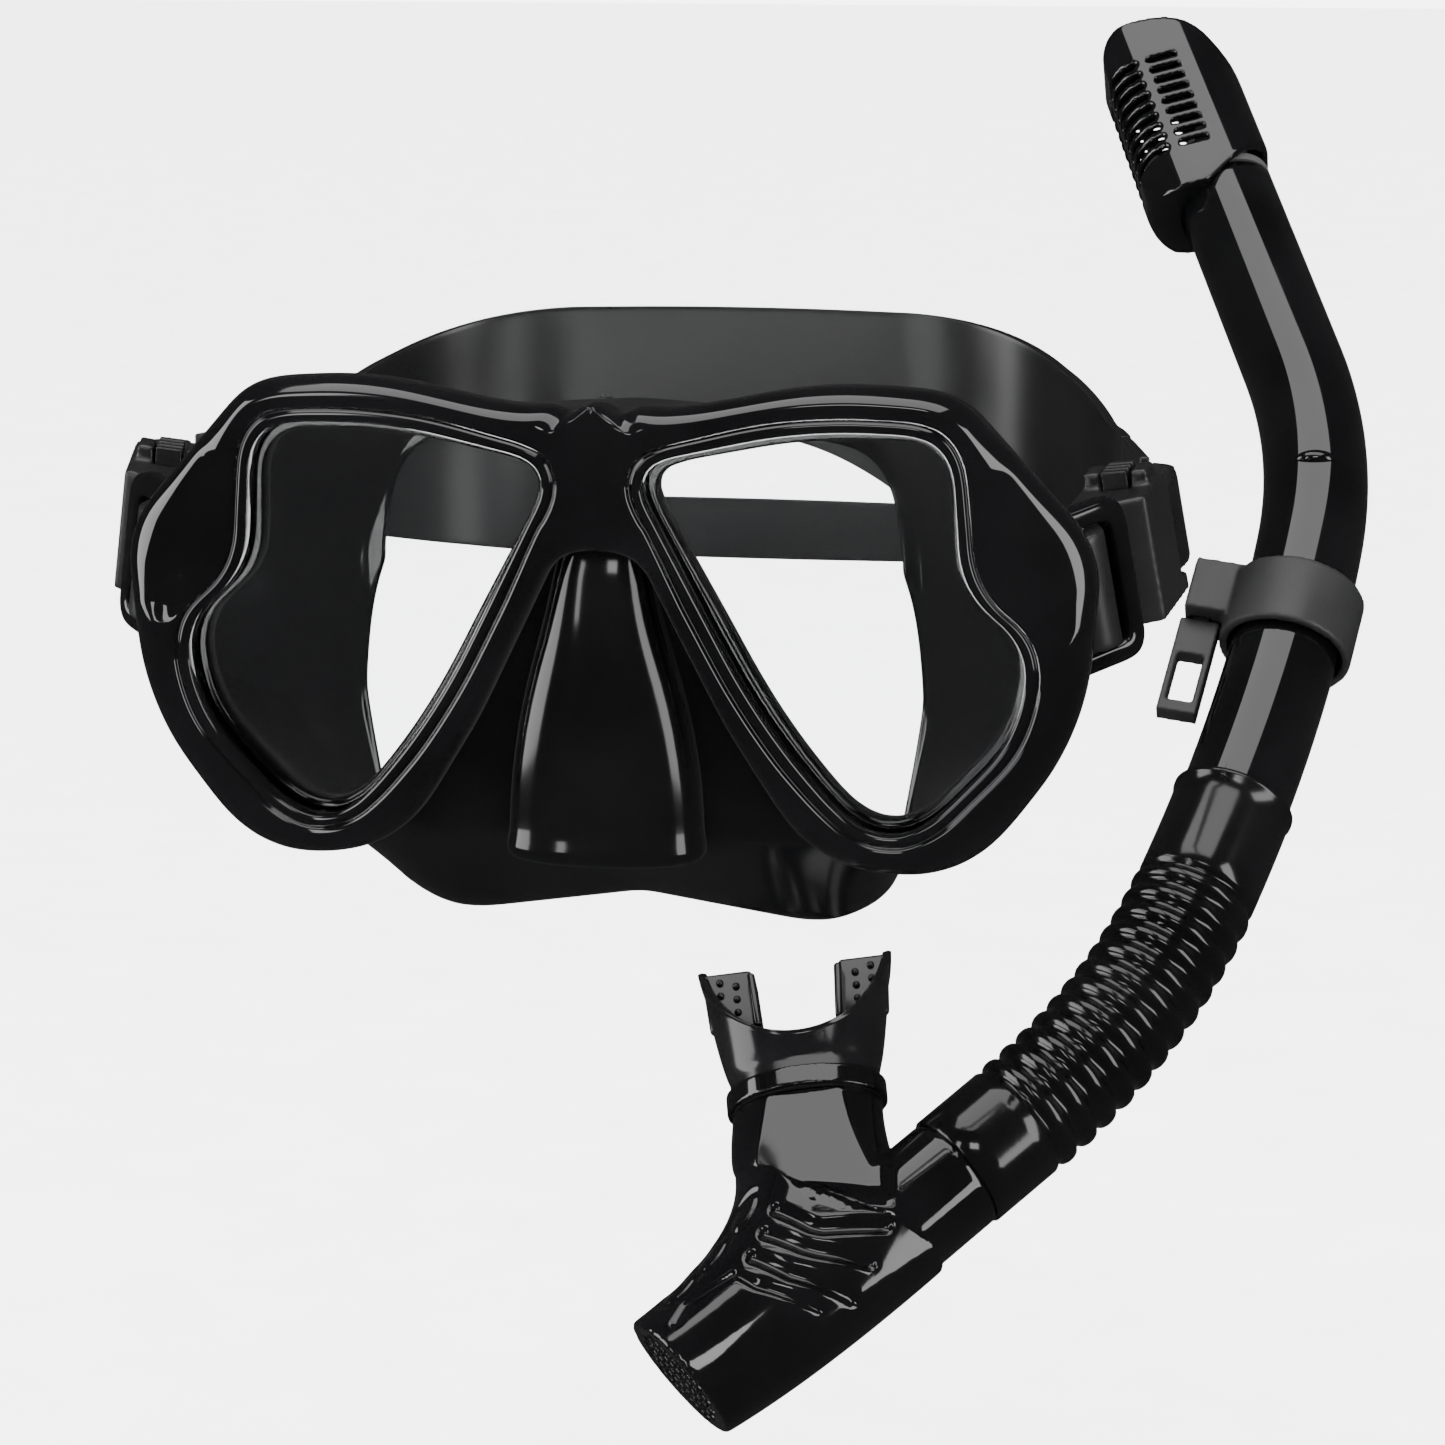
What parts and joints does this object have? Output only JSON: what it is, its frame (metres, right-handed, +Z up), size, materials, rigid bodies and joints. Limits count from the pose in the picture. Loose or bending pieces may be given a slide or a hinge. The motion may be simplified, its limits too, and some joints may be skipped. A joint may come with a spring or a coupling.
{
  "type": "snorkel mask set",
  "caption": "Two-window low-volume dive mask with silicone skirt, swivelling strap buckles and a split head strap, beside its dry-top snorkel with flexible hose and purge valve.",
  "frame": {"origin": "middle of the skirt's face opening, level with the middle of the lenses", "axes": "+Z up, the lenses look along -Y, +X towards the wearer's left, where the snorkel is"},
  "size_m": [0.241, 0.28, 0.2633],
  "materials": {
    "frame_gloss": "deep black gloss",
    "retainer_gloss": "black gloss",
    "skirt_silicone": "black silicone, glossy outside, satin on the face seal",
    "strap_silicone": "black satin silicone",
    "lens_glass": "clear tempered glass",
    "pin_steel": "brushed",
    "buckle_matte": "fine matte dark grey",
    "roller_matte": "matte",
    "button_matte": "matte dark grey",
    "tube_gloss": "black gloss",
    "dry_top_gloss": "black gloss",
    "chamber_gloss": "black gloss",
    "cover_gloss": "black gloss",
    "clamp_gloss": "black gloss",
    "keeper_matte": "fine matte dark grey",
    "hose_silicone": "glossy black silicone",
    "mouthpiece_silicone": "glossy black silicone",
    "valve_silicone": "black silicone",
    "float_plastic": "matte"
  },
  "bodies": {
    "mask": {"mask_frame": "frame_gloss", "skirt": "skirt_silicone", "head_strap": "strap_silicone", "lens_left": "lens_glass", "lens_right": "lens_glass", "lens_retainer_left": "retainer_gloss", "lens_retainer_right": "retainer_gloss", "swivel_pin_left": "pin_steel", "swivel_pin_right": "pin_steel"},
    "buckle_arm_left": {"buckle_left": "buckle_matte", "strap_roller_left": "roller_matte", "strap_tail_left": "strap_silicone"},
    "buckle_arm_right": {"buckle_right": "buckle_matte", "strap_roller_right": "roller_matte", "strap_tail_right": "strap_silicone"},
    "button_left": {"release_button_left": "button_matte"},
    "button_right": {"release_button_right": "button_matte"},
    "snorkel_tube": {"upper_tube": "tube_gloss", "dry_top_shroud": "dry_top_gloss", "valve_seat": "valve_silicone", "valve_pin": "pin_steel"},
    "keeper": {"keeper_ring": "keeper_matte"},
    "clip": {"keeper_clip": "keeper_matte"},
    "snorkel_chamber": {"chamber_body": "chamber_gloss", "purge_seat": "chamber_gloss", "purge_cover": "cover_gloss", "mouthpiece": "mouthpiece_silicone", "mouth_clamp": "clamp_gloss", "flex_hose": "hose_silicone"},
    "purge_valve": {"purge_flap": "valve_silicone"},
    "float": {"dry_float": "float_plastic"},
    "top_flap": {"valve_flap": "valve_silicone"}
  },
  "joints": [
    {"name": "buckle_left_swivel", "type": "hinge", "parent": "mask", "child": "buckle_arm_left", "pos_m": [0.088, -0.028, 0.0057], "axis": [-0.1672, -0.1505, 0.9744], "range_deg": [-3, 20]},
    {"name": "buckle_right_swivel", "type": "hinge", "parent": "mask", "child": "buckle_arm_right", "pos_m": [-0.088, -0.028, 0.0057], "axis": [-0.1672, 0.1505, -0.9744], "range_deg": [-3, 20]},
    {"name": "button_left_press", "type": "slide", "parent": "buckle_arm_left", "child": "button_left", "axis": [0.1672, 0.1505, -0.9744], "range_m": [0, 0.0009], "stiffness_N_per_m": 800},
    {"name": "button_right_press", "type": "slide", "parent": "buckle_arm_right", "child": "button_right", "axis": [-0.1672, 0.1505, -0.9744], "range_m": [0, 0.0009], "stiffness_N_per_m": 800},
    {"name": "snorkel_slide", "type": "slide", "parent": "mask", "child": "snorkel_tube", "axis": [1, 0, 0], "range_m": [0, 0.12]},
    {"name": "keeper_turn", "type": "hinge", "parent": "snorkel_tube", "child": "keeper", "pos_m": [0.12051, 0.10484, -0.02376], "axis": [0.1579, 0.6982, 0.6982], "range_deg": [-45, 45]},
    {"name": "clip_release", "type": "slide", "parent": "keeper", "child": "clip", "axis": [-0.1579, -0.6982, -0.6982], "range_m": [0, 0.01]},
    {"name": "hose_bend", "type": "hinge", "parent": "snorkel_tube", "child": "snorkel_chamber", "pos_m": [0.0912, 0.0362, -0.0924], "axis": [0, -0.7071, 0.7071], "range_deg": [-18, 18], "stiffness_Nm_per_rad": 1.2, "deforming": ["flex_hose"]},
    {"name": "purge_flap_lift", "type": "slide", "parent": "snorkel_chamber", "child": "purge_valve", "axis": [-0.6756, -0.5213, -0.5213], "range_m": [0, 0.0012], "stiffness_N_per_m": 60},
    {"name": "float_rise", "type": "slide", "parent": "snorkel_tube", "child": "float", "axis": [-0.342, 0.6645, 0.6645], "range_m": [0, 0.008]},
    {"name": "top_flap_close", "type": "hinge", "parent": "snorkel_tube", "child": "top_flap", "pos_m": [0.08881, 0.18975, 0.06115], "axis": [0, -0.7071, 0.7071], "range_deg": [-50, 0]}
  ],
  "couplings": [
    {"joint": "top_flap_close", "follows": "float_rise", "rad_per_m": -108}
  ]
}
